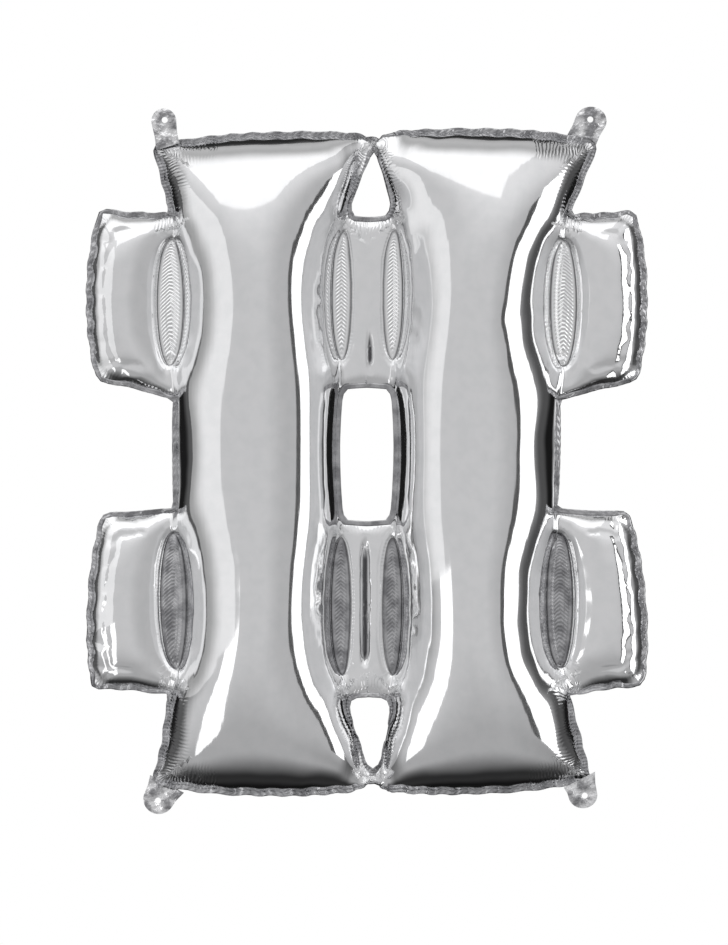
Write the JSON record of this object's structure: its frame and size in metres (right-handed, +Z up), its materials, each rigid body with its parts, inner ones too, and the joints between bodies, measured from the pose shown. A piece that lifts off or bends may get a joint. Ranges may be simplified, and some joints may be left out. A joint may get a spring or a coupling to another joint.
{
  "type": "hash-shaped foil balloon",
  "caption": "Mirror-silver foil balloon shaped like a hash sign: foil sheets welded round the edge and pinched where the bars cross, with punched tabs for hanging it up.",
  "frame": {"origin": "middle of the window, in the plane of the welds, where the hanging balloon is held in the air", "axes": "+Z up, along the two bars; +X to the right in the front view, along the crossbars; the front faces -Y"},
  "size_m": [0.706, 0.1576, 0.8675],
  "materials": {
    "foil": "mirror-bright metallised film, tight",
    "weld": "metallised film welded flat, finely puckered",
    "tab": "metallised film welded flat, smooth"
  },
  "bodies": {
    "root": {"front_foil": "foil", "back_foil": "foil", "outer_seam": "weld", "top_gap_seam": "weld", "window_seam": "weld", "bottom_gap_seam": "weld", "upper_left_outer_weld": "weld", "upper_left_inner_weld": "weld", "upper_right_inner_weld": "weld", "upper_right_outer_weld": "weld", "lower_left_outer_weld": "weld", "lower_left_inner_weld": "weld", "lower_right_inner_weld": "weld", "lower_right_outer_weld": "weld", "top_left_tab": "tab", "top_right_tab": "tab", "bottom_left_tab": "tab", "bottom_right_tab": "tab"}
  },
  "joints": []
}
